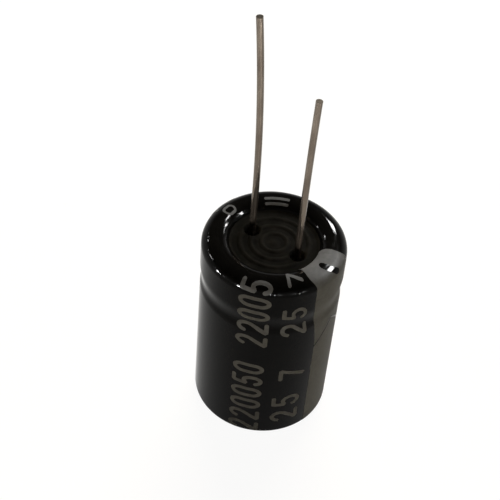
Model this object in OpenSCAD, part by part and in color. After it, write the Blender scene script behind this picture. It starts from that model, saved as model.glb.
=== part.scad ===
// Radial electrolytic capacitor, 12.7 mm can, leads 5 mm apart, standing on its closed end.
// Millimetres. Z runs along the can from its closed end to the leads. The two leads stand
// on the X axis, the shorter negative one at +X.

/* [Can] */

// Diameter of the bare can
can_d = 12.7; // [11.5:0.1:16]
// Height from the closed end to the crest of the rim, sleeve included
case_h = 20.6; // [17:0.1:40]
// Wall of the drawn can
can_wall = 0.3; // [0.2:0.02:0.4]
// Thickness of the closed end
can_floor = 0.4; // [0.3:0.05:0.8]
// Outside corner radius of the closed end
foot_r = 0.35; // [0.2:0.05:0.8]
// Inside corner radius of the closed end
floor_r = 0.15; // [0.05:0.05:0.2]
// How much wider in radius the can is above the bead than below it
swell = 0.06; // [0:0.01:0.15]
// Height above the bead's middle at which the can reaches that width
swell_h = 1.7; // [1.2:0.1:2.5]

/* [Bead and rim] */

// Depth of the rolled bead that grips the seal
bead_depth = 0.75; // [0.3:0.05:1.1]
// Width of the bead along the can
bead_w = 1.9; // [1.4:0.1:2.2]
// Middle of the bead below the crest of the rim
bead_drop = 5.1; // [4:0.1:6]
// Height over which the rim curls inward
rim_rise = 1.1; // [1:0.05:1.4]
// Reach of the curled rim from its crest outward
rim_out = 1.2; // [0.8:0.05:1.4]
// Reach of the curled rim from its crest inward
rim_in = 1.1; // [0.6:0.05:1.2]

/* [Vent on the closed end] */

// Depth of the scored cross
vent_depth = 0.16; // [0.08:0.01:0.22]
// Width of the score at the surface
vent_w = 0.4; // [0.2:0.05:0.6]
// Bare margin between the score's ends and the sleeve's edge
vent_margin = 0.5; // [0.3:0.1:1.5]

/* [Sleeve] */

// Thickness of the shrunk film
sleeve_t = 0.15; // [0.1:0.01:0.25]
// Width of the band that folds under the closed end
fold_w = 1.6; // [1.2:0.1:3]
// How far the film dips over the bead
sleeve_dip = 0.11; // [0.02:0.01:0.2]
// Gap between the film's cut end inside the rim and the seal
film_gap = 0.12; // [0.05:0.01:0.2]

/* [Seal] */

// Face of the seal below the crest of the rim
seal_sink = 0.93; // [0.8:0.01:1]
// Thickness of the seal at its face
seal_h = 5.5; // [5:0.1:8]
// Radius of the raised button in the middle of the face
button_r = 0.6; // [0.3:0.05:0.7]
// Radius of the innermost raised ring
ring_first = 1.15; // [1.1:0.01:1.3]
// Step from one raised ring to the next
ring_step = 0.98; // [0.85:0.01:1]
// Width of a raised ring
ring_w = 0.58; // [0.3:0.02:0.6]
// Height of the button and the rings
ring_h = 0.13; // [0.05:0.01:0.2]
// Depth of the pocket round each lead
pocket_depth = 0.8; // [0.5:0.05:1.2]
// Ledge between the pocket's wall and the bore below it
pocket_ledge = 0.07; // [0.04:0.01:0.12]

/* [Leads and tabs] */

// Distance between the leads
lead_pitch = 5; // [4.2:0.1:5.4]
// Diameter of the wire
wire_d = 0.6; // [0.5:0.05:0.8]
// Length of the positive lead above the seal
positive_l = 22.7; // [18:0.1:40]
// Length of the negative lead above the seal
negative_l = 17.2; // [15:0.1:35]
// Straight length of each lead above the seal
straight_l = 4; // [2:0.1:8]
// Radius of the long curve in which the positive lead leans
positive_curve_r = 197; // [120:1:600]
// Radius of the long curve in which the negative lead leans
negative_curve_r = 580; // [120:1:1000]
// Direction of the positive lead's lean, counted from +X
positive_lean_angle = 213; // [0:1:360]
// Direction of the negative lead's lean, counted from +X
negative_lean_angle = 33; // [0:1:360]
// Diameter of the weld where the wire meets its tab
weld_d = 0.84; // [0.8:0.02:1.1]
// Height of the weld
weld_h = 1.05; // [0.8:0.05:1.4]
// Bevel at the wire's cut end
tip_bevel = 0.07; // [0.02:0.01:0.1]
// Diameter of a tab's round neck
neck_d = 1.5; // [1.3:0.05:1.8]
// Length of a tab's neck below the seal
neck_l = 0.3; // [0.1:0.05:0.4]
// Height over which the neck is pressed into a blade
press_h = 0.9; // [0.6:0.05:1]
// Height of the part of it that spreads to the blade's width
flare_h = 0.6; // [0.3:0.05:0.6]
// Thickness of the blade
blade_t = 0.3; // [0.2:0.02:0.4]
// Width of the blade
blade_w = 2.4; // [2:0.1:2.8]
// Depth of the blade inside the winding
blade_l = 9; // [5:0.5:10]

/* [Winding] */

// Gap between the wrapped winding and the can
winding_gap = 0.2; // [0.1:0.05:0.5]
// Space between the winding and the seal
head_gap = 1.5; // [1.5:0.1:2.5]
// Diameter of the hole left by the winding spindle
spindle_d = 2; // [1:0.1:2.4]
// Number of turns drawn on the winding's ends
turns = 8; // [4:1:12]
// How far the paper stands out beyond the foil
paper_lip = 0.3; // [0.1:0.05:0.5]
// Thickness of the tape wrapped round the winding
tape_t = 0.06; // [0.04:0.01:0.15]
// Bare margin of the winding above and below the tape
tape_margin = 1; // [0.5:0.1:2]

/* [Hidden] */

$fn = 96;

// Steps of a quarter turn, of the bead and of the swell above it
arc_steps = 10;
bead_steps = 12;
swell_steps = 4;

// Can
can_r = can_d / 2;
shoulder_r = can_r + swell;
floor_z = sleeve_t + can_floor;
bead_z = case_h - bead_drop;
bead_lo = bead_z - bead_w / 2;
bead_hi = bead_z + bead_w / 2;
rim_z = case_h - sleeve_t - rim_rise;
crest_r = shoulder_r - rim_out;

// Sleeve
fold_r = can_r - fold_w;
vent_r = fold_r - vent_margin;

// Seal
seal_z = case_h - seal_sink;
seal_lo = seal_z - seal_h;
ledge_z = seal_z - pocket_depth;
neck_r = neck_d / 2;
pocket_r = neck_r - pocket_ledge;
lead_x = lead_pitch / 2;
rim_end = asin((seal_z - rim_z) / rim_rise);
film_end = asin((seal_z + film_gap - rim_z) / rim_rise);
hook_end = asin((seal_z - rim_z) / (rim_rise - can_wall));
rings = floor((crest_r - rim_in - ring_w / 2 - ring_first) / ring_step) + 1;

// Winding
tape_r = can_r - can_wall - winding_gap;
winding_r = tape_r - tape_t;
winding_top = seal_lo - head_gap;
spindle_r = spindle_d / 2;
turn_step = (winding_r - spindle_r) / (2 * turns + 1);
press_z = seal_lo - neck_l;
blade_z = press_z - press_h;
blade_lo = winding_top - blade_l;

// A cosine step from 0 to 1
function ease(t) = (1 - cos(180 * t)) / 2;

// Points of an ellipse round centre c, from angle a0 to a1
function arc(c, rx, rz, a0, a1, n = arc_steps) =
    [for (i = [0:n]) let (a = a0 + (a1 - a0) * i / n) [c[0] + rx * cos(a), c[1] + rz * sin(a)]];

function reversed(path) = [for (i = [len(path) - 1:-1:0]) path[i]];

// Heights at which the flank is drawn, through the bead and the swell above it
bead_heights = [for (i = [0:bead_steps]) bead_lo + bead_w * i / bead_steps];
swell_heights = [for (i = [1:swell_steps]) bead_hi + (bead_z + swell_h - bead_hi) * i / swell_steps];
flank_heights = concat(bead_heights, swell_heights);

// Radius of the flank as the film spans it, dipping at the bead and widening above it
function span_r(z) = z < bead_z
    ? can_r - sleeve_dip * ease((z - bead_lo) / (bead_z - bead_lo))
    : can_r - sleeve_dip + (sleeve_dip + swell) * ease(min((z - bead_z) / swell_h, 1));

// Extra depth of the bead in the can's wall
function bead_r(z) = abs(z - bead_z) < bead_w / 2
    ? (bead_depth - sleeve_dip) * ease(1 - abs(z - bead_z) / (bead_w / 2))
    : 0;

// The flank and the rim, t outside the can's own surface. The path runs up the flank, over
// the crest and down inside it to the given angle.
function spanned_flank(t) = [for (z = flank_heights) [span_r(z) + t, z]];
function beaded_flank(t) = [for (z = flank_heights) [span_r(z) - bead_r(z) + t, z]];
function rim(t, end) = concat(
    arc([crest_r, rim_z], rim_out + t, rim_rise + t, 0, 90),
    arc([crest_r, rim_z], rim_in + t, rim_rise + t, 90, 180 - end));
function foot(t) = arc([can_r - foot_r, sleeve_t + foot_r], foot_r + t, foot_r + t, -90, 0);

// Where the inside of the can runs from below the bead to the rim's cut end
inner_flank = concat(beaded_flank(-can_wall), rim(-can_wall, hook_end));

// A film tube shrunk over the can, folded under its closed end and inside its rim
module sleeve() {
    outside = concat([[fold_r, 0]], foot(sleeve_t), spanned_flank(sleeve_t), rim(sleeve_t, film_end));
    inside = concat([[fold_r, sleeve_t]], foot(0), spanned_flank(0), rim(0, film_end));
    color([0.13, 0.125, 0.12])
        rotate_extrude()
            polygon(concat(outside, reversed(inside)));
}

// One arm of the scored cross, as long as the sleeve's opening allows
module vent_arm() {
    translate([-vent_r, 0, sleeve_t])
        rotate([90, 0, 90])
            linear_extrude(height = 2 * vent_r)
                polygon([[-vent_w / 2, 0], [0, vent_depth], [vent_w / 2, 0]]);
}

// A drawn aluminium cup, rolled in at the bead and curled over the seal
module can() {
    outside = concat([[0, sleeve_t]], foot(0), beaded_flank(0), rim(0, film_end));
    cut = [[crest_r - rim_in * cos(rim_end), seal_z]];
    corner = arc([can_r - can_wall - floor_r, floor_z + floor_r], floor_r, floor_r, -90, 0, 4);
    color([0.8, 0.8, 0.8])
        difference() {
            rotate_extrude()
                polygon(concat(outside, cut, reversed(inner_flank), reversed(corner), [[0, floor_z]]));
            vent_arm();
            rotate([0, 0, 90])
                vent_arm();
        }
}

// The pocket round a lead, and the bore below it that grips the tab's neck
module lead_hole() {
    translate([0, 0, ledge_z])
        cylinder(r = pocket_r, h = pocket_depth + ring_h + 1);
    translate([0, 0, seal_lo - 1])
        cylinder(r = neck_r, h = ledge_z - seal_lo + 1);
}

// A moulded rubber plug, squeezed into the bead and the curled rim
module end_seal() {
    button = arc([0, seal_z], button_r, ring_h, 0, 90, 4);
    raised = [for (i = [rings - 1:-1:0]) each arc([ring_first + i * ring_step, seal_z], ring_w / 2, ring_h, 0, 180, 8)];
    color([0.2, 0.195, 0.19])
        difference() {
            rotate_extrude()
                polygon(concat([[0, seal_lo], [can_r - can_wall, seal_lo]], inner_flank, raised, button));
            for (side = [-1, 1])
                translate([side * lead_x, 0, 0])
                    lead_hole();
        }
}

// The ring cut away at the wire's end, so that the wire ends at z = 0 with a bevel
module tip_cut() {
    rotate_extrude()
        translate([wire_d / 2, -tip_bevel])
            polygon([[tip_bevel, -tip_bevel], [-2 * tip_bevel, 2 * tip_bevel], [tip_bevel, 2 * tip_bevel]]);
}

// Turns its children to the end of a curve that starts upward at the origin and leans to -X
module along_curve(curve_r, angle) {
    translate([-curve_r, 0, 0])
        rotate([0, -angle, 0])
            translate([curve_r, 0, 0])
                children();
}

// A wire that starts upward at the origin and leans to -X in one long curve
module curved_wire(curve_r, angle) {
    translate([-curve_r, 0, 0])
        rotate([90, 0, 0])
            rotate_extrude(angle = angle, $fn = 720)
                translate([curve_r, 0])
                    circle(d = wire_d, $fn = 32);
}

// A tinned wire welded to its tab, straight at first and then leaning the given way
module lead(length, curve_r, way) {
    rise = pocket_depth + straight_l;
    lean = (length - straight_l) * 180 / (PI * curve_r);
    color([0.62, 0.58, 0.53])
        difference() {
            union() {
                cylinder(r1 = weld_d / 2, r2 = wire_d / 2, h = weld_h);
                translate([0, 0, weld_h])
                    cylinder(d = wire_d, h = rise - weld_h);
                translate([0, 0, rise])
                    rotate([0, 0, way - 180])
                        curved_wire(curve_r, lean);
            }
            translate([0, 0, rise])
                rotate([0, 0, way - 180])
                    along_curve(curve_r, lean)
                        tip_cut();
        }
}

module positive_lead() {
    translate([-lead_x, 0, ledge_z])
        lead(positive_l, positive_curve_r, positive_lean_angle);
}

module negative_lead() {
    translate([lead_x, 0, ledge_z])
        lead(negative_l, negative_curve_r, negative_lean_angle);
}

// The tab seen edge on: the press squeezes the round neck down to the blade's thickness
module pressed_side() {
    slope = press_h / (neck_r - blade_t / 2);
    half = [[blade_t / 2, blade_lo - blade_t], [blade_t / 2, blade_z],
            [neck_r + blade_t, press_z + slope * blade_t], [neck_r + blade_t, ledge_z + blade_t]];
    rotate([90, 0, 0])
        linear_extrude(height = blade_w + blade_t, center = true)
            polygon(concat(half, [for (q = reversed(half)) [-q[0], q[1]]]));
}

// An aluminium tab: a round neck gripped by the seal and a flat blade wound in with the foil
module tab() {
    color([0.82, 0.82, 0.83])
        intersection() {
            rotate_extrude()
                polygon([[0, blade_lo], [blade_w / 2, blade_lo], [blade_w / 2, blade_z],
                         [neck_r, blade_z + flare_h], [neck_r, ledge_z], [0, ledge_z]]);
            pressed_side();
        }
}

module positive_tab() {
    translate([-lead_x, 0, 0])
        tab();
}

module negative_tab() {
    translate([lead_x, 0, 0])
        tab();
}

// The turns on one end of the winding, as grooves between the standing edges of the paper
module turn_grooves() {
    for (i = [0:turns - 1])
        difference() {
            cylinder(r = spindle_r + (2 * i + 2) * turn_step, h = paper_lip + 1);
            translate([0, 0, -1])
                cylinder(r = spindle_r + (2 * i + 1) * turn_step, h = paper_lip + 3);
        }
}

// Foil and paper wound into one roll, with the slots that the tabs' blades fill
module winding() {
    color([0.72, 0.6, 0.42])
        difference() {
            translate([0, 0, floor_z])
                cylinder(r = winding_r, h = winding_top - floor_z);
            translate([0, 0, floor_z - 1])
                cylinder(r = spindle_r, h = winding_top - floor_z + 2);
            translate([0, 0, winding_top - paper_lip])
                turn_grooves();
            translate([0, 0, floor_z - 1])
                turn_grooves();
            for (side = [-1, 1])
                translate([side * lead_x, 0, 0])
                    tab();
        }
}

// The tape that holds the last turn down
module element_tape() {
    color([0.86, 0.8, 0.62])
        translate([0, 0, floor_z + tape_margin])
            difference() {
                cylinder(r = tape_r, h = winding_top - floor_z - 2 * tape_margin);
                translate([0, 0, -1])
                    cylinder(r = winding_r, h = winding_top - floor_z - 2 * tape_margin + 2);
            }
}

sleeve();
can();
end_seal();
positive_lead();
negative_lead();
positive_tab();
negative_tab();
winding();
element_tape();
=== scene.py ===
# %% [markdown]
# A radial electrolytic capacitor, dressed
#
# The object is a small drawn can, closed by a rubber plug that two stiff wires come through, and
# covered by a shrunk film with pale print on it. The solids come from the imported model, which is
# the fixed frame: nothing in it is moved. This file gives every surface its look, and models
# again, finer, the pieces whose form shows most: the film, its print, the plug and the wires.
# Everything is in metres, and Z runs up from the closed end to the leads.

import bpy
import numpy as np
from mathutils import Matrix, Quaternion, Vector


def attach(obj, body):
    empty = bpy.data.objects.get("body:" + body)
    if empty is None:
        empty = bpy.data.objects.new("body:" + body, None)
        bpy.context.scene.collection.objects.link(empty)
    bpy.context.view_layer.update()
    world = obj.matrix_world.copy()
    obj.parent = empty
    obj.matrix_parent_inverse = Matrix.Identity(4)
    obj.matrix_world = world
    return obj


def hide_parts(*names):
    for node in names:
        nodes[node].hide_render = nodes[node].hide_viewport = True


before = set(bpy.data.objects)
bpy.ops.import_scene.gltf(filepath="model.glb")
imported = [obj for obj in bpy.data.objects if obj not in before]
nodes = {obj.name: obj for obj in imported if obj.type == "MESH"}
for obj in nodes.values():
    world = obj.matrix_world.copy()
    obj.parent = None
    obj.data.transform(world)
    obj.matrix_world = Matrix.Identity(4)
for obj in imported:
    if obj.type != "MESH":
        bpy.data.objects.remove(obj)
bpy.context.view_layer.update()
MM = 0.001
print("pieces of the frame:", ", ".join(sorted(nodes)))

# %% [markdown]
# Grids
#
# Almost every piece here is a sheet of points with rows and columns. It could be drawn by hand
# and smoothed, but a formula says more: where the film bends, how deep the bead is, how wide a
# stroke of print is. So each shape is worked out as whole arrays, in millimetres, and one helper
# turns a grid of points into a mesh.

# %% A grid becomes a mesh


def grid_faces(rows, columns, round_rows=False, round_columns=True):
    """Quads between neighbours of a rows x columns grid. A round direction joins its end to its start."""
    i = np.arange(rows if round_rows else rows - 1)[:, None]
    j = np.arange(columns if round_columns else columns - 1)[None, :]
    next_i, next_j = (i + 1) % rows, (j + 1) % columns
    corners = (i * columns + j, i * columns + next_j, next_i * columns + next_j, next_i * columns + j)
    return np.stack(np.broadcast_arrays(*corners), axis=-1).reshape(-1, 4).tolist()


def joined(parts):
    """Several (points, faces) as one: each part's faces count on from the points before it."""
    starts = np.cumsum([0] + [len(points) for points, _ in parts[:-1]])
    faces = [[k + int(start) for k in face] for start, (_, part) in zip(starts, parts) for face in part]
    return np.concatenate([points for points, _ in parts]), faces


def make_piece(name, points, faces, material, stands_for=(), sharp=0.6):
    """A piece that rides on the frame: points in millimetres, smooth but for edges past sharp radians."""
    mesh = bpy.data.meshes.new(name)
    mesh.from_pydata((points.reshape(-1, 3) * MM).tolist(), [], faces)
    mesh.update()
    mesh.set_sharp_from_angle(angle=sharp)
    piece = bpy.data.objects.new(name, mesh)
    bpy.context.scene.collection.objects.link(piece)
    mesh.materials.append(material)
    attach(piece, "root")
    if stands_for:
        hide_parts(*stands_for)
    print(f"{name}: {len(mesh.vertices)} points, {len(mesh.polygons)} faces")
    return piece


# %% [markdown]
# Colours and nodes
#
# Colours are written as a painter's hex values and turned to the linear light that the renderer
# counts in. A material is a small graph, and one helper adds a node, sets it and links it.

# %% Helpers for materials


def linear(code):
    """sRGB hex to linear RGBA: c/12.92 below 0.04045, else ((c + 0.055)/1.055) to the power 2.4."""
    c = np.array([int(code[i:i + 2], 16) for i in (1, 3, 5)]) / 255
    c = np.where(c <= 0.04045, c / 12.92, ((c + 0.055) / 1.055) ** 2.4)
    return (*c.tolist(), 1.0)


def add_node(tree, kind, settings=None, **inputs):
    """A node with its settings, and for each input a value or another node's output."""
    node = tree.nodes.new(kind)
    for name, value in (settings or {}).items():
        setattr(node, name, value)
    for name, value in inputs.items():
        socket = node.inputs[int(name[1:])] if name[1:].isdigit() else node.inputs[name.replace("_", " ")]
        if isinstance(value, bpy.types.NodeSocket):
            tree.links.new(value, socket)
        else:
            socket.default_value = value
    return node


def new_material(name):
    """An empty material: its tree, its Principled shader and a place on the piece in millimetres."""
    material = bpy.data.materials.new(name)
    material.use_nodes = True
    tree = material.node_tree
    tree.nodes.clear()
    shader = add_node(tree, "ShaderNodeBsdfPrincipled")
    add_node(tree, "ShaderNodeOutputMaterial", Surface=shader.outputs["BSDF"])
    place = add_node(tree, "ShaderNodeTexCoord").outputs["Object"]
    in_mm = add_node(tree, "ShaderNodeVectorMath", {"operation": "SCALE"}, Vector=place, Scale=1000.0)
    return material, tree, shader, in_mm.outputs["Vector"]


def speckle(tree, place, size, stretch=(1, 1, 1), detail=3.0):
    """Noise whose grains are about size millimetres across, drawn out by stretch along X, Y and Z."""
    scale = tuple(1 / (size * s) for s in stretch)
    mapped = add_node(tree, "ShaderNodeMapping", Vector=place, Scale=scale)
    return add_node(tree, "ShaderNodeTexNoise", Vector=mapped.outputs["Vector"], Scale=1.0, Detail=detail)


def between(tree, value, low, high):
    """The noise's middle range, 0.3 to 0.7, spread over low to high."""
    inputs = {"Value": value, "From_Min": 0.3, "From_Max": 0.7, "To_Min": low, "To_Max": high}
    return add_node(tree, "ShaderNodeMapRange", **inputs).outputs["Result"]


def tint(tree, value, dark, light):
    """A colour that goes from dark to light with the noise's middle range."""
    # The node's float and colour sockets share their names, so they go by number
    sockets = {"_0": between(tree, value, 0, 1), "_6": linear(dark), "_7": linear(light)}
    return add_node(tree, "ShaderNodeMix", {"data_type": "RGBA"}, **sockets).outputs[2]


def relief(tree, shader, height, depth):
    """Bump: the height, 0 to 1, stands for depth millimetres."""
    bump = add_node(tree, "ShaderNodeBump", Height=height, Distance=depth * MM, Strength=1.0)
    tree.links.new(bump.outputs["Normal"], shader.inputs["Normal"])


print("helpers ready")

# %% [markdown]
# The shrunk film
#
# The can's black coat is a printed PVC tube. Heat shrinks it onto the can: it follows the flank,
# spans the bead with a shallow dip, and turns in over the rim and under the closed end. It could
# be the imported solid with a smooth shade, but the gloss shows every facet. So the film is worked
# out again as one closed sheet: an outline from cut edge to cut edge, turned about Z.

# %% The film's outline
FILM_T = 0.15
WALL_R = 6.5
BEAD_Z, BEAD_HALF, SWELL_H = 15.5, 0.95, 1.7
DIP, SWELL = 0.11, 0.06
FOOT_R, FOLD_R = 0.5, 4.75
CREST_R, RIM_Z, CREST_Z = 5.21, 19.35, 20.6
RIM_OUT, RIM_IN, RIM_END = 1.35, 1.25, np.radians(155.5)


def ease(t):
    """A cosine step: 0 below t = 0, 1 above t = 1."""
    return (1 - np.cos(np.pi * np.clip(t, 0, 1))) / 2


def flank_r(z):
    """Radius of the flank: the wall, less an eased dip at the bead, then an eased swell above it."""
    dip = DIP * ease((z - BEAD_Z + BEAD_HALF) / BEAD_HALF)
    return WALL_R - dip + (DIP + SWELL) * ease((z - BEAD_Z) / SWELL_H)


def film_outline():
    """Radius and height from the cut edge below, up the flank and over the rim to the cut edge above.

    A flat fold, a quarter circle, the flank's function, and two quarters of an ellipse.
    """
    fold = np.stack([np.linspace(FOLD_R, WALL_R - FOOT_R, 30), np.zeros(30)], axis=1)
    a = np.linspace(-np.pi / 2, 0, 30)
    foot = np.stack([WALL_R - FOOT_R + FOOT_R * np.cos(a), FOOT_R + FOOT_R * np.sin(a)], axis=1)
    z = np.linspace(FOOT_R, RIM_Z, 400)
    flank = np.stack([flank_r(z), z], axis=1)
    a = np.linspace(0, RIM_END, 240)
    reach = np.where(a < np.pi / 2, RIM_OUT, RIM_IN)
    rim = np.stack([CREST_R + reach * np.cos(a), RIM_Z + (CREST_Z - RIM_Z) * np.sin(a)], axis=1)
    return np.concatenate([fold, foot[1:], flank[1:], rim[1:]])


outline = film_outline()
steps = np.linalg.norm(np.diff(outline, axis=0), axis=1)
along = np.concatenate([[0], np.cumsum(steps)])
# Distance along the film is counted so that it equals the height on the straight wall
along += FOOT_R - np.interp(FOOT_R, outline[59:, 1], along[59:])
slope = np.gradient(outline, along, axis=0)
outward = np.stack([slope[:, 1], -slope[:, 0]], axis=1)
outward /= np.linalg.norm(outward, axis=1)[:, None]
EDGE_LOW, EDGE_HIGH = along[0], along[-1]
print(f"film: {EDGE_HIGH - EDGE_LOW:.2f} mm from cut edge to cut edge")

# %% [markdown]
# Small faults of the film
#
# Shrunk film is never a perfect lathe form. Its cut edges wander a little, it puckers where it
# is gathered over the rim and under the foot, and a few pimples stand on the shoulder. They are
# what breaks the light on the rim into specks. A noise in the material would shade like this but
# leave the outline smooth, so they are added to the surface itself.

# %% Where a point of the film lies
CHANCE = np.random.default_rng(7).uniform(0, 2 * np.pi, 40)
# The side the picture is taken from, counted from +X
FRONT_DEG = -57
PIMPLES = [  # degrees from the front, distance along the film, height, width
    (-22, 19.72, 0.026, 0.14), (3, 19.72, 0.03, 0.17), (22, 19.72, 0.03, 0.18),
    (-44, 19.85, 0.026, 0.14), (-57, 20.25, 0.022, 0.14), (-70, 20.33, 0.018, 0.13),
    (-77, 20.46, 0.016, 0.13), (-83, 20.72, 0.018, 0.15), (47, 19.7, 0.018, 0.16), (74, 19.9, 0.018, 0.14),
    (118, 19.8, 0.018, 0.16), (160, 19.9, 0.016, 0.15), (-150, 19.8, 0.018, 0.16)]


def wander(angle, amount, waves, first):
    """A closed wandering line: sines with whole numbers of waves, each with its own chance phase."""
    phases = CHANCE[first:first + len(waves)]
    return amount * sum(np.sin(w * angle + p) / (k + 1) for k, (w, p) in enumerate(zip(waves, phases)))


def fade(v, centre, half):
    """A bell: 1 at the centre, e to the minus 1 at half either side."""
    return np.exp(-((v - centre) / half) ** 2)


def film_relief(angle, v):
    """Height above the smooth film: puckers on the shoulder and at both edges, plus the pimples."""
    height = fade(v, 19.8, 0.7) * wander(angle, 0.006, (5, 9, 16), 0)
    height = height + fade(v, 22.4, 0.6) * wander(angle, 0.010, (7, 12, 23), 3)
    height = height - fade(v, EDGE_LOW + 0.5, 0.8) * np.abs(wander(angle, 0.022, (17, 29, 41), 6))
    for degrees, centre, rise, width in PIMPLES:
        across = (angle - np.radians(FRONT_DEG + degrees) + np.pi) % (2 * np.pi) - np.pi
        height = height + rise * np.exp(-((across * WALL_R) ** 2 + (v - centre) ** 2) / width ** 2)
    return height


def film_point(angle, v, lift=0.0, rough=1.0):
    """A point lift above the film's surface: the outline at v, moved along its normal, turned by angle."""
    r, z = np.interp(v, along, outline[:, 0]), np.interp(v, along, outline[:, 1])
    nr, nz = np.interp(v, along, outward[:, 0]), np.interp(v, along, outward[:, 1])
    raised = lift + rough * film_relief(angle, v)
    r, z = r + nr * raised, z + nz * raised
    return np.stack([r * np.cos(angle), r * np.sin(angle), z], axis=-1)


# %% Film material
# Printed PVC shrink film, extruded: deep black and glossy, with a faint waviness in its gloss.
# Its reflection is set low, as the photographed black is deep.
film, tree, shader, place = new_material("black_pvc_shrink_film")
grain = speckle(tree, place, 0.9).outputs["Fac"]
fine = speckle(tree, place, 0.12).outputs["Fac"]
tree.links.new(tint(tree, grain, "#0b0a08", "#0f0e0c"), shader.inputs["Base Color"])
tree.links.new(between(tree, grain, 0.07, 0.13), shader.inputs["Roughness"])
shader.inputs["IOR"].default_value = 1.53
shader.inputs["Specular IOR Level"].default_value = 0.03
relief(tree, shader, fine, 0.0012)

# %% The film
TURNS = 480
angle = np.linspace(0, 2 * np.pi, TURNS, endpoint=False)[None, :]
v_rows = np.concatenate([
    np.linspace(EDGE_LOW, -0.28, 8), np.linspace(-0.2, 0.5, 10), np.linspace(1.2, 14.4, 14),
    np.linspace(14.5, 17.3, 24), np.linspace(17.6, 18.8, 6), np.linspace(18.9, EDGE_HIGH, 66)])
low_cut, high_cut = wander(angle, 0.05, (3, 7, 13), 10), wander(angle, 0.035, (2, 5, 11), 13)
v_grid = v_rows[:, None] + low_cut * ease((EDGE_LOW + 1 - v_rows) / 1)[:, None]
v_grid = v_grid + high_cut * ease((v_rows - EDGE_HIGH + 1) / 1)[:, None]
outer = film_point(angle, v_grid)
inner_v = v_grid[::-3]
inner = film_point(angle, inner_v, lift=-FILM_T, rough=0)
film_points = np.concatenate([outer, inner])
film_faces = grid_faces(len(film_points), TURNS, round_rows=True)
film_piece = make_piece("film_sleeve", film_points, film_faces, film, ("sleeve",))

# %% [markdown]
# Printed numbers
#
# The print is one thin layer of silver-grey ink: plain numbers that read towards the leads and
# run on over the shoulder, and a stripe down the side of the negative lead. It could be a
# picture on the film, but its edges would blur close up. So every stroke is a ribbon of its own
# ink, laid on the film's surface by the same function that made the film.

# %% Strokes of the numbers


def bend(cx, cy, rx, ry, start, end, n=21):
    """Points of an ellipse about (cx, cy), from start to end in degrees."""
    a = np.radians(np.linspace(start, end, n))
    return np.stack([cx + rx * np.cos(a), cy + ry * np.sin(a)], axis=1)


def run(*points):
    """A straight or angled stroke through the points, with seven steps between each two."""
    corners = np.array(points, float)
    t = np.linspace(0, len(corners) - 1, 7 * (len(corners) - 1) + 1)
    return np.stack([np.interp(t, np.arange(len(corners)), corners[:, k]) for k in (0, 1)], axis=1)


# Each number's strokes in a box one wide and one high, its foot at the bottom left
STROKES = {
    "0": [np.concatenate(
        [bend(0.5, 0.7, 0.5, 0.3, 0, 180), bend(0.5, 0.3, 0.5, 0.3, 180, 360), [[1, 0.7]]])],
    "1": [run((0.5, 1), (0.5, 0))],
    "2": [np.concatenate([bend(0.5, 0.72, 0.48, 0.28, 165, -35), run((0.86, 0.52), (0, 0), (1, 0))])],
    "5": [np.concatenate(
        [run((0.92, 1), (0.14, 1), (0.06, 0.56)), bend(0.48, 0.31, 0.5, 0.31, 130, -155)])],
    "6": [np.concatenate([bend(0.72, 0.42, 0.7, 0.58, 95, 180), bend(0.5, 0.3, 0.48, 0.3, 180, 530)])],
    "7": [run((0, 1), (0.98, 1), (0.3, 0))],
}
print("numbers drawn:", " ".join(STROKES))

# %% A stroke becomes a ribbon of ink
INK_T, MARK_T, STROKE_W = 0.012, 0.024, 0.42
# The ink's underside lies this deep in the film, so that no gap shows
SUNK = 0.02


def drifted(angle, v):
    """Where the print ends up: near the stripe the film turned back as it shrank over the bead and rim.

    Two eased steps along the film, 6.5 and 5 degrees, times a bell round the stripe's middle.
    """
    turned_back = 6.5 * ease((v - 11) / 7) + 5 * ease((v - 19.5) / 1.6)
    off = (angle - np.radians(4) + np.pi) % (2 * np.pi) - np.pi
    return angle - np.radians(turned_back) * np.exp(-(off / 0.62) ** 4)


def ribbon(path, width, thickness=INK_T):
    """A ribbon along a path on the film, with round ends: a closed strip of points and faces.

    The path is in millimetres round the wall and along the film. Half the width is set off to
    both sides along the path's normal. Past each end it falls as a circle does, the root of
    w squared less d squared, so that the end is round.
    """
    far = np.concatenate([[0], np.cumsum(np.linalg.norm(np.diff(path, axis=0), axis=1))])
    even = np.linspace(0, far[-1], int(far[-1] / 0.09) + 2)
    path = np.stack([np.interp(even, far, path[:, k]) for k in (0, 1)], axis=1)
    w = width / 2
    beyond = w * np.sin(np.linspace(0, np.pi / 2 - 0.1, 6)[1:])
    first, last = path[0] - path[1], path[-1] - path[-2]
    first, last = first / np.linalg.norm(first), last / np.linalg.norm(last)
    path = np.concatenate([path[0] + first * beyond[::-1, None], path, path[-1] + last * beyond[:, None]])
    half = np.full(len(path), w)
    half[:5], half[-5:] = np.sqrt(w * w - beyond[::-1] ** 2), np.sqrt(w * w - beyond ** 2)
    way = np.gradient(path, axis=0)
    way /= np.linalg.norm(way, axis=1)[:, None]
    side = np.stack([-way[:, 1], way[:, 0]], axis=1)
    across = np.array([-1, -0.5, 0, 0.5, 1])
    flat = path[:, None] + side[:, None] * (half[:, None] * across)[..., None]
    u, v = drifted(flat[..., 0] / WALL_R, flat[..., 1]), flat[..., 1]
    above, below = film_point(u, v, thickness), film_point(u, v, -SUNK)
    loop = np.concatenate([above, below[:, ::-1]], axis=1)
    rows, columns = loop.shape[:2]
    faces = grid_faces(rows, columns)
    faces += [list(range(columns))[::-1], list(range((rows - 1) * columns, rows * columns))]
    return loop.reshape(-1, 3), faces


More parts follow.
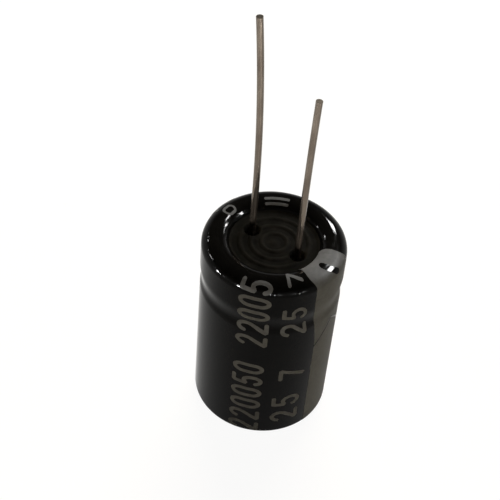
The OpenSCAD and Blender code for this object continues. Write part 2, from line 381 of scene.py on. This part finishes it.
def number(text, start, foot, height, width, advance, weight=STROKE_W):
    """Ribbons for a line of numbers that reads along the film, tops towards smaller angles.

    A stroke's x runs along the film from start, and its y runs round the wall, back from the
    line's foot.
    """
    parts = []
    for place_in_line, digit in enumerate(text):
        for stroke in STROKES.get(digit, []):
            along_film = start + advance * place_in_line + stroke[:, 0] * width
            around = np.radians(foot) * WALL_R - stroke[:, 1] * height
            path = np.stack([around, along_film], axis=1)
            parts.append(ribbon(path[::-1], weight))
    return parts


# %% Ink material
# Silver-grey screen ink, cured on the film: satin, a little uneven where the screen left it.
ink, tree, shader, place = new_material("silver_grey_screen_ink")
mottle = speckle(tree, place, 0.35).outputs["Fac"]
tree.links.new(tint(tree, mottle, "#646462", "#6d6d6b"), shader.inputs["Base Color"])
tree.links.new(between(tree, mottle, 0.45, 0.58), shader.inputs["Roughness"])
shader.inputs["IOR"].default_value = 1.5
shader.inputs["Specular IOR Level"].default_value = 0.02
relief(tree, shader, speckle(tree, place, 0.09).outputs["Fac"], 0.002)

# %% The printed numbers
REPEAT = 12.45
TALL = {"height": 2.59, "width": 0.95, "advance": 1.72}
BROAD = {"height": 2.4, "width": 1.15, "advance": 2.25}
SINGLE = {"height": 2.2, "width": 1.2, "advance": 1}
NARROW = {"height": 2.9, "width": 0.5, "advance": 0.53, "weight": 0.28}
# The long lines run out on the rim, and a small number stands there by itself
lines = number("0", 21.05, FRONT_DEG + 243, height=1.36, width=0.85, advance=1, weight=0.26)
for shift, front, rear in ((0, "220050", "160025"), (REPEAT, "22005", "16002")):
    lines += number(front, 0.43 + shift, FRONT_DEG - 0.4, **TALL)
    lines += number("25", 1.88 + shift, FRONT_DEG + 33.5, **BROAD)
    lines += number("7", 8.1 + shift, FRONT_DEG + 35, **SINGLE)
    lines += number("50", 0.8 + shift, FRONT_DEG + 191, **BROAD)
    lines += number("11", 9.0 + shift, FRONT_DEG + 193.5, **NARROW)
    lines += number(rear, 0.1 + shift, FRONT_DEG + 243, **TALL)
print("strokes:", len(lines))
points, faces = joined(lines)
numbers = make_piece("number_print", points, faces, ink)

# %% [markdown]
# The stripe
#
# The broad stripe marks the negative lead. Where the film is drawn in over the rim its edge
# leans a little, and the stripe ends with the film. A rounded bar and a thin arrow line are left
# open in it, so that the black film shows: here they are laid on it in the film's own black.

# %% The stripe and its marks


def patch(low, high, v, columns):
    """A closed slab of ink between two angles in degrees, as long as the distances v along the film."""
    v_all, u = np.meshgrid(v, np.radians(np.linspace(low, high, columns)), indexing="ij")
    u = drifted(u, v_all)
    loop = np.concatenate([film_point(u, v_all, INK_T), film_point(u, v_all, -SUNK)[:, ::-1]], axis=1)
    rows, width = loop.shape[:2]
    faces = grid_faces(rows, width)
    faces += [list(range(width))[::-1], list(range((rows - 1) * width, rows * width))]
    return loop.reshape(-1, 3), faces


STRIPE_LEFT, STRIPE_RIGHT = -13.5, 29.0
v = np.concatenate([
    np.linspace(EDGE_LOW + 0.12, 0.5, 22), np.linspace(1.2, 14.4, 14), np.linspace(14.5, 17.3, 24),
    np.linspace(17.6, 18.8, 6), np.linspace(18.9, EDGE_HIGH - 0.03, 60)])
points, faces = patch(STRIPE_LEFT, STRIPE_RIGHT, v, 61)
stripe = make_piece("stripe_print", points, faces, ink)

# %% Marks in the stripe
degree = WALL_R * np.pi / 180
bar = ribbon(run((7.2 * degree, 21.2), (11.3 * degree, 20.0)), 0.72, MARK_T)
arrow = ribbon(run((-13.5 * degree, 11.5), (7.5 * degree, 13.9), (28.5 * degree, 11.5)), 0.11, MARK_T)
points, faces = joined([bar, arrow])
marks = make_piece("stripe_marks", points, faces, film)

# %% [markdown]
# The rubber plug
#
# The plug is moulded butyl rubber, squeezed between the bead and the curled rim. Its face has a
# button and raised rings, and a round pocket for each lead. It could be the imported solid, but
# its rings are faceted. So the outline is turned again, finer, and the pockets are cut out of it
# with a boolean, as the mould's pins would leave them. On the floor of a pocket a thin skin of
# rubber closes round the weld.

# %% The plug's outline
SEAL_Z, SEAL_LOW, POCKET_DEPTH, POCKET_R, BORE_R, LEAD_X = 19.67, 14.17, 0.8, 0.68, 0.75, 2.5
BUTTON_R, RING_FIRST, RING_STEP, RING_HALF, RING_H = 0.6, 1.15, 0.98, 0.34, 0.13
CAN_T, BEAD_DEPTH, LIP_R, LIP_W, LIP_H, FACE_R = 0.3, 0.75, 3.75, 0.4, 0.15, 4.24


def face_height(r):
    """The face: a button and three rings, each one wave of a cosine, so that it swells from the flat."""
    centres = np.array([0, *(RING_FIRST + RING_STEP * np.arange(3))])
    halves = np.array([BUTTON_R, *[RING_HALF] * 3])
    gap = np.clip(np.abs(r[:, None] - centres) / halves, 0, 1)
    return SEAL_Z + RING_H * (1 + np.cos(np.pi * gap)).max(axis=1) / 2


def plug_outline():
    """The face from the middle out to the rim's cut end, then the can's inner wall down to the foot.

    Where the rim squeezes it, the face swells by an eased lip that covers the can's cut end. The
    wall is the film's outline, set in by the film and the can, with the deeper bead.
    """
    r_face = np.concatenate([np.linspace(0, 3.6, 220)[1:], np.linspace(3.65, FACE_R, 16)])
    face = np.stack([r_face, face_height(r_face) + LIP_H * ease((r_face - LIP_R) / LIP_W)], axis=1)
    a = np.linspace(156.0, 0, 30) * np.pi / 180
    reach = np.where(a < np.pi / 2, RIM_OUT, RIM_IN) - FILM_T - CAN_T
    rise = CREST_Z - RIM_Z - FILM_T - CAN_T
    hook = np.stack([CREST_R + reach * np.cos(a), RIM_Z + rise * np.sin(a)], axis=1)
    hook = hook[hook[:, 1] > SEAL_Z]
    hook = np.concatenate([hook, [[WALL_R + SWELL - FILM_T - CAN_T, RIM_Z]]])
    z = np.linspace(RIM_Z - 0.3, SEAL_LOW, 60)
    squeeze = (BEAD_DEPTH - DIP) * ease(1 - np.abs(z - BEAD_Z) / BEAD_HALF)
    wall = np.stack([flank_r(z) - squeeze - FILM_T - CAN_T, z], axis=1)
    return np.concatenate([face, hook, wall, [[3, SEAL_LOW]]])


def turned(shape, turns):
    """A closed solid of revolution: the outline round Z, with a pole point at either end."""
    a = np.linspace(0, 2 * np.pi, turns, endpoint=False)[None, :]
    r, z = shape[:, 0, None], shape[:, 1, None]
    body = np.stack([r * np.cos(a), r * np.sin(a), np.broadcast_to(z, (len(shape), turns))], axis=-1)
    poles = np.array([[0, 0, SEAL_Z + RING_H], [0, 0, SEAL_LOW]])
    faces = [face[::-1] for face in grid_faces(len(shape), turns)]
    top, low = len(shape) * turns, len(shape) * turns + 1
    j = np.arange(turns)
    after = (j + 1) % turns
    last = (len(shape) - 1) * turns
    faces += np.stack([np.full(turns, top), j, after], axis=1).tolist()
    faces += np.stack([np.full(turns, low), last + after, last + j], axis=1).tolist()
    return np.concatenate([body.reshape(-1, 3), poles]), faces


# %% Rubber material
# Moulded butyl rubber: soft brown-black and matt, with the fine tooth of the mould. Painted shade:
# the flats between the button and rings are painted darker by height, and their tops a shade paler.
rubber, tree, shader, place = new_material("moulded_butyl_rubber")
bloom = speckle(tree, place, 1.1).outputs["Fac"]
tooth = speckle(tree, place, 0.1, detail=5.0).outputs["Fac"]
# Painted shade: by height, the base colour is darker low in the grooves and paler on the ring tops, added
# to the random bloom
level = add_node(tree, "ShaderNodeSeparateXYZ", Vector=place).outputs["Z"]
rise = {"Value": level, "From_Min": SEAL_Z, "From_Max": SEAL_Z + RING_H, "To_Min": -0.12, "To_Max": 0.12}
rise = add_node(tree, "ShaderNodeMapRange", **rise).outputs["Result"]
bloom_and_painted_shade = add_node(tree, "ShaderNodeMath", {"operation": "ADD"}, _0=bloom, _1=rise).outputs[0]
tree.links.new(tint(tree, bloom_and_painted_shade, "#12110d", "#1d1b16"), shader.inputs["Base Color"])
tree.links.new(between(tree, tooth, 0.75, 0.88), shader.inputs["Roughness"])
shader.inputs["IOR"].default_value = 1.5
shader.inputs["Specular IOR Level"].default_value = 0.005
relief(tree, shader, tooth, 0.004)

# %% The plug, with its pockets cut


def pin(x, shape, turns=96):
    """A mould pin: its outline of radii and heights turned about the upright line at x."""
    a = np.linspace(0, 2 * np.pi, turns, endpoint=False)[None, :]
    r, z = np.array(shape, float).T[..., None]
    points = np.stack([x + r * np.cos(a), r * np.sin(a), np.broadcast_to(z, (len(shape), turns))], axis=-1)
    rows = len(shape)
    faces = grid_faces(rows, turns)
    faces += [list(range(turns))[::-1], list(range((rows - 1) * turns, rows * turns))]
    return points.reshape(-1, 3), faces


NECK_Z, SKIN_Z, SKIN_R = SEAL_Z - POCKET_DEPTH, SEAL_Z - POCKET_DEPTH + 0.04, 0.43
mouth = [
    (SKIN_R, NECK_Z - 0.2), (SKIN_R, SKIN_Z), (POCKET_R, SKIN_Z), (POCKET_R, SEAL_Z - 0.2),
    (POCKET_R + 0.02, SEAL_Z - 0.1), (POCKET_R + 0.06, SEAL_Z - 0.03), (POCKET_R + 0.12, SEAL_Z + 0.03),
    (POCKET_R + 0.2, SEAL_Z + 0.08), (POCKET_R + 0.3, SEAL_Z + 0.12), (POCKET_R + 0.3, SEAL_Z + 1)]
bore = [(BORE_R, SEAL_LOW - 1), (BORE_R, NECK_Z + 0.005)]
plug_points, plug_faces = turned(plug_outline(), 240)
pins = [pin(x, shape) for x in (-LEAD_X, LEAD_X) for shape in (mouth, bore)]
plug = make_piece("rubber_plug", plug_points, plug_faces, rubber, ("end_seal",))
for k, (points, faces) in enumerate(pins):
    mesh = bpy.data.meshes.new(f"pin_{k}")
    mesh.from_pydata((points * MM).tolist(), [], faces)
    cutter = bpy.data.objects.new(f"pin_{k}", mesh)
    bpy.context.scene.collection.objects.link(cutter)
    cut = plug.modifiers.new("pocket", "BOOLEAN")
    cut.object, cut.operation, cut.solver = cutter, "DIFFERENCE", "EXACT"
    depsgraph = bpy.context.evaluated_depsgraph_get()
    plug.data = bpy.data.meshes.new_from_object(plug.evaluated_get(depsgraph))
    plug.modifiers.clear()
    bpy.data.objects.remove(cutter)
plug.data.set_sharp_from_angle(angle=0.6)
print("plug after cutting:", len(plug.data.polygons), "faces")

# %% [markdown]
# The wires
#
# Each lead is stiff tinned wire, welded to an aluminium tab below. It leaves its pocket upright
# and leans a little in one long curve, as bench handling leaves it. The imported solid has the
# right path, so the same path is used here for a smoother tube, with the weld's swelling at the
# foot. Its end is sheared off flat, and the bare cut is duller than the tinned side.

# %% Wire material
# Tinned copper-clad steel wire, drawn and dipped: a dark silver-brown mirror that fades towards
# the black rim, with fine lines along it.
wire_finish, tree, shader, place = new_material("tinned_drawn_wire")
draw_lines = speckle(tree, place, 0.06, stretch=(1, 1, 40)).outputs["Fac"]
dull = speckle(tree, place, 1.5, stretch=(1, 1, 2)).outputs["Fac"]
tree.links.new(tint(tree, dull, "#584f46", "#685f55"), shader.inputs["Base Color"])
tree.links.new(between(tree, draw_lines, 0.15, 0.23), shader.inputs["Roughness"])
shader.inputs["Metallic"].default_value = 1.0
relief(tree, shader, draw_lines, 0.003)

# The sheared end: bare steel with the drag of the blade, dull and even.
sheared, tree, shader, place = new_material("sheared_wire_end")
drag = speckle(tree, place, 0.08, stretch=(1, 4, 1)).outputs["Fac"]
tree.links.new(tint(tree, drag, "#4d463d", "#5c554b"), shader.inputs["Base Color"])
tree.links.new(between(tree, drag, 0.48, 0.56), shader.inputs["Roughness"])
shader.inputs["Metallic"].default_value = 1.0
relief(tree, shader, drag, 0.003)

# %% The wires
WIRE_R, WELD_R, WELD_H, STRAIGHT = 0.3, 0.42, 1.05, 4.0
STRAIGHT_Z = SEAL_Z + STRAIGHT


def wire(x, length, curve_r, lean_way):
    """A tube of circles along a straight run and one arc of radius curve_r, length above the seal.

    At distance s past the straight run the wire has turned by s/R: it has moved R(1 - cos)
    sideways and R sin upwards, and its circles are tilted by as much. The last face is the
    sheared end.
    """
    bent, foot = length - STRAIGHT, NECK_Z - STRAIGHT_Z
    s = np.concatenate([
        np.linspace(foot, foot + WELD_H, 16), np.linspace(-3.5, 0, 6)[:-1],
        np.linspace(0, bent, 60)])
    turn = np.clip(s, 0, None) / curve_r
    side = curve_r * (1 - np.cos(turn))
    up = STRAIGHT_Z + np.where(s < 0, s, curve_r * np.sin(turn))
    weld = np.clip((foot + WELD_H - s) / WELD_H, 0, 1)
    r = WIRE_R + (WELD_R - WIRE_R) * weld ** 1.5
    a = np.linspace(0, 2 * np.pi, 40, endpoint=False)[None, :]
    off_side, off_cross = r[:, None] * np.cos(a), r[:, None] * np.sin(a)
    out = side[:, None] + off_side * np.cos(turn)[:, None]
    z = up[:, None] - off_side * np.sin(turn)[:, None]
    cx, cy = np.cos(np.radians(lean_way)), np.sin(np.radians(lean_way))
    points = np.stack([x + out * cx - off_cross * cy, out * cy + off_cross * cx, z], axis=-1)
    rows, columns = points.shape[:2]
    faces = grid_faces(rows, columns)
    faces += [list(range(columns))[::-1], list(range((rows - 1) * columns, rows * columns))]
    return points.reshape(-1, 3), faces


points, faces = wire(-LEAD_X, 22.7, 197, 213)
positive = make_piece("positive_wire", points, faces, wire_finish, ("positive_lead",))
points, faces = wire(LEAD_X, 17.2, 580, 33)
negative = make_piece("negative_wire", points, faces, wire_finish, ("negative_lead",))
# The last face of a wire is its sheared end
for piece in (positive, negative):
    piece.data.materials.append(sheared)
    piece.data.polygons[-1].material_index = 1

# %% [markdown]
# Metal, paper and tape
#
# The can shows below, where the film leaves the closed end bare with its scored cross. The tabs,
# the winding and its tape are out of sight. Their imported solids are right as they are, so they
# only get their finishes.

# %% Finishes of the pieces inside


def dress(node, material):
    """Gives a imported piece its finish, without touching its mesh."""
    nodes[node].data.materials.clear()
    nodes[node].data.materials.append(material)
    print(node, "is", material.name)


# Impact-drawn aluminium: bright satin, with faint rings and drawing marks.
drawn, tree, shader, place = new_material("drawn_aluminium")
marks_of_draw = speckle(tree, place, 0.15, stretch=(1, 1, 20)).outputs["Fac"]
tree.links.new(tint(tree, marks_of_draw, "#bcbdbe", "#cfd0d1"), shader.inputs["Base Color"])
tree.links.new(between(tree, marks_of_draw, 0.24, 0.38), shader.inputs["Roughness"])
shader.inputs["Metallic"].default_value = 1.0
relief(tree, shader, marks_of_draw, 0.004)
dress("can", drawn)

# Pressed soft aluminium, etched and formed: a dull grey, with a fine grain.
pressed, tree, shader, place = new_material("pressed_aluminium_tab")
press_grain = speckle(tree, place, 0.12).outputs["Fac"]
tree.links.new(tint(tree, press_grain, "#77787a", "#8a8b8c"), shader.inputs["Base Color"])
tree.links.new(between(tree, press_grain, 0.5, 0.62), shader.inputs["Roughness"])
shader.inputs["Metallic"].default_value = 1.0
relief(tree, shader, press_grain, 0.004)
dress("positive_tab", pressed)
dress("negative_tab", pressed)

# Manila paper wet with electrolyte, wound edge-on: tan, with short fibres.
paper, tree, shader, place = new_material("wet_manila_paper")
fibre = speckle(tree, place, 0.2, stretch=(1, 1, 4)).outputs["Fac"]
tree.links.new(tint(tree, fibre, "#a98a5c", "#c9ab7b"), shader.inputs["Base Color"])
tree.links.new(between(tree, fibre, 0.45, 0.65), shader.inputs["Roughness"])
relief(tree, shader, fibre, 0.01)
dress("winding", paper)

# Polyester adhesive tape: smooth, straw-coloured, glossy.
tape, tree, shader, place = new_material("polyester_tape")
straw = speckle(tree, place, 2.0).outputs["Fac"]
tree.links.new(tint(tree, straw, "#d3c795", "#dfd5a8"), shader.inputs["Base Color"])
tree.links.new(between(tree, straw, 0.2, 0.3), shader.inputs["Roughness"])
dress("element_tape", tape)

# %% [markdown]
# Floor, light and camera
#
# The object stands on a white table, with a window behind it and a little light from the room.
# The floor could be painted white alone, but it would fall off to grey. So it is a white surface
# that the window lights, and most of what the camera, the gloss and the glass see of it is plain
# white: the background stays even, and a soft shadow is left.

# %% What the camera sees


def seen_white(tree):
    """1 for the camera's rays, also by way of gloss or glass, and 0 for the light on other things."""
    path = add_node(tree, "ShaderNodeLightPath").outputs
    seen = path["Is Camera Ray"]
    for kind in ("Is Glossy Ray", "Is Transmission Ray"):
        seen = add_node(tree, "ShaderNodeMath", {"operation": "MAXIMUM"}, _0=seen, _1=path[kind]).outputs[0]
    return seen


print("helper ready")

# %% The floor
floor_finish = bpy.data.materials.new("white_table")
floor_finish.use_nodes = True
tree = floor_finish.node_tree
tree.nodes.clear()
WHITE_SHARE, FLOOR_R = 0.85, 1500
share = add_node(tree, "ShaderNodeMath", {"operation": "MULTIPLY"}, _0=seen_white(tree), _1=WHITE_SHARE)
paint = add_node(tree, "ShaderNodeBsdfDiffuse", Color=linear("#f3ead2"))
white = add_node(tree, "ShaderNodeEmission", Color=(1, 1, 1, 1), Strength=1.1)
mixed = add_node(tree, "ShaderNodeMixShader", _0=share.outputs[0], _1=paint.outputs[0], _2=white.outputs[0])
add_node(tree, "ShaderNodeOutputMaterial", Surface=mixed.outputs[0])
around = np.linspace(0, 2 * np.pi, 96, endpoint=False)
edge = FLOOR_R * np.stack([np.cos(around), np.sin(around), np.zeros(len(around))], axis=1)
floor_mesh = bpy.data.meshes.new("table")
floor_mesh.from_pydata((edge * MM).tolist(), [], [list(range(len(edge)))])
floor_mesh.materials.append(floor_finish)
table = bpy.data.objects.new("table", floor_mesh)
bpy.context.scene.collection.objects.link(table)
print(f"table {2 * FLOOR_R * MM:.1f} m across")

# %% The light of the room
# What is seen of the walls is white at the table's level and dark above, as under a black ceiling
world = bpy.data.worlds.new("room")
bpy.context.scene.world = world
world.use_nodes = True
tree = world.node_tree
tree.nodes.clear()
up = add_node(tree, "ShaderNodeTexCoord").outputs["Generated"]
height = add_node(tree, "ShaderNodeSeparateXYZ", Vector=up).outputs["Z"]
level = {"Value": height, "From_Min": 0.1, "From_Max": 0.4, "To_Min": 1.0, "To_Max": 0.1}
level = add_node(tree, "ShaderNodeMapRange", **level).outputs["Result"]
walls = add_node(tree, "ShaderNodeBackground", Color=(1, 1, 1, 1), Strength=level)
room = add_node(tree, "ShaderNodeBackground", Color=linear("#fff0d6"), Strength=0.12)
both = add_node(tree, "ShaderNodeMixShader", _0=seen_white(tree), _1=room.outputs[0], _2=walls.outputs[0])
add_node(tree, "ShaderNodeOutputWorld", Surface=both.outputs[0])
print("room lit")

# %% [markdown]
# Lamps
#
# A black film shows little but what it mirrors, so its look is made by its highlights. One large
# window gives all the light on the matt pieces. It could be mirrored too, but it would lie on
# the rim as one long arc. So it is left out of the gloss, and small bright lamps that light the
# gloss alone stand where each streak and speck on the rim asks for one. Two of them hang close
# over the rim: a far lamp is mirrored twice on a round rim, as bright on the far side as on the
# near one, and a close lamp looks smaller from the far side.

# %% The lamps


def lamp(name, azimuth, elevation, spread, brightness, turn=0, distance=500, gloss_only=False):
    """A rectangular lamp that faces the rim from a distance in mm and an azimuth counted from +X.

    spread is its width and height as seen from there, and turn the angle from level to its
    width, all in degrees. brightness is the radiance of its face, so its power is
    brightness x pi x area.
    """
    a, e = np.radians(azimuth), np.radians(elevation)
    way = Vector((np.cos(e) * np.cos(a), np.cos(e) * np.sin(a), np.sin(e)))
    size = 2 * distance * MM * np.tan(np.radians(spread) / 2)
    data = bpy.data.lights.new(name, "AREA")
    data.shape = "RECTANGLE"
    data.size, data.size_y = size
    data.energy = brightness * np.pi * size[0] * size[1]
    light = bpy.data.objects.new(name, data)
    light.location = AIM + way * distance * MM
    turned_lamp = way.to_track_quat("Z", "Y") @ Quaternion((0, 0, 1), np.radians(turn))
    light.rotation_euler = turned_lamp.to_euler()
    light.visible_camera = False
    light.visible_diffuse, light.visible_glossy = not gloss_only, gloss_only
    bpy.context.scene.collection.objects.link(light)
    print(f"{name}: power {data.energy:.5f} W")
    return data


AIM = Vector((0, 0, 18)) * MM
GRID_ANGLE = np.radians(100)
lamp("window_light", 118, 48, (36, 32), 7.5)
lamp("back_lamp", 76, 45, (9, 10), 220, turn=30, gloss_only=True)
near_lamps = [
    lamp("rim_lamp", 89.5, 36.5, (12, 5), 90, turn=39, distance=17, gloss_only=True),
    lamp("stripe_lamp", 34.2, 32.4, (19.5, 9), 120, turn=57, distance=22.8, gloss_only=True)]
for near_lamp in near_lamps:
    # A grid in front keeps it off the wires
    near_lamp.spread = GRID_ANGLE
for k, (azimuth, elevation) in enumerate([(172, 20), (200, 15)]):
    lamp(f"side_lamp_{k}", azimuth, elevation, (4, 4), 140, gloss_only=True)
for k, azimuth in enumerate([-132, -96, -51, -19]):
    lamp(f"low_lamp_{k}", azimuth, -3.8, (11, 8), 700, distance=150, gloss_only=True)

# %% The camera
# Its place, its direction and a small roll were fitted to the outlines in the picture
camera_data = bpy.data.cameras.new("camera")
camera_data.lens = 84.384
camera_data.sensor_width = 36
camera_data.clip_start = 0.005
camera = bpy.data.objects.new("camera", camera_data)
bpy.context.scene.collection.objects.link(camera)
VIEW_AZIMUTH, VIEW_ELEVATION, ROLL = -57.0, 45.01, 5.15
a, e = np.radians(VIEW_AZIMUTH), np.radians(VIEW_ELEVATION)
back = Vector((np.cos(e) * np.cos(a), np.cos(e) * np.sin(a), np.sin(e)))
level_right = Vector((-np.sin(a), np.cos(a), 0))
level_up = back.cross(level_right)
roll = np.radians(ROLL)
right = level_right * np.cos(roll) + level_up * np.sin(roll)
upward = back.cross(right)
camera.matrix_world = Matrix((right, upward, back)).transposed().to_4x4()
camera.location = Vector((38.868, -63.747, 93.107)) * MM
bpy.context.scene.camera = camera
print("camera", [round(c, 4) for c in camera.location])

# %% Hand over
bpy.context.scene.view_settings.view_transform = "Standard"
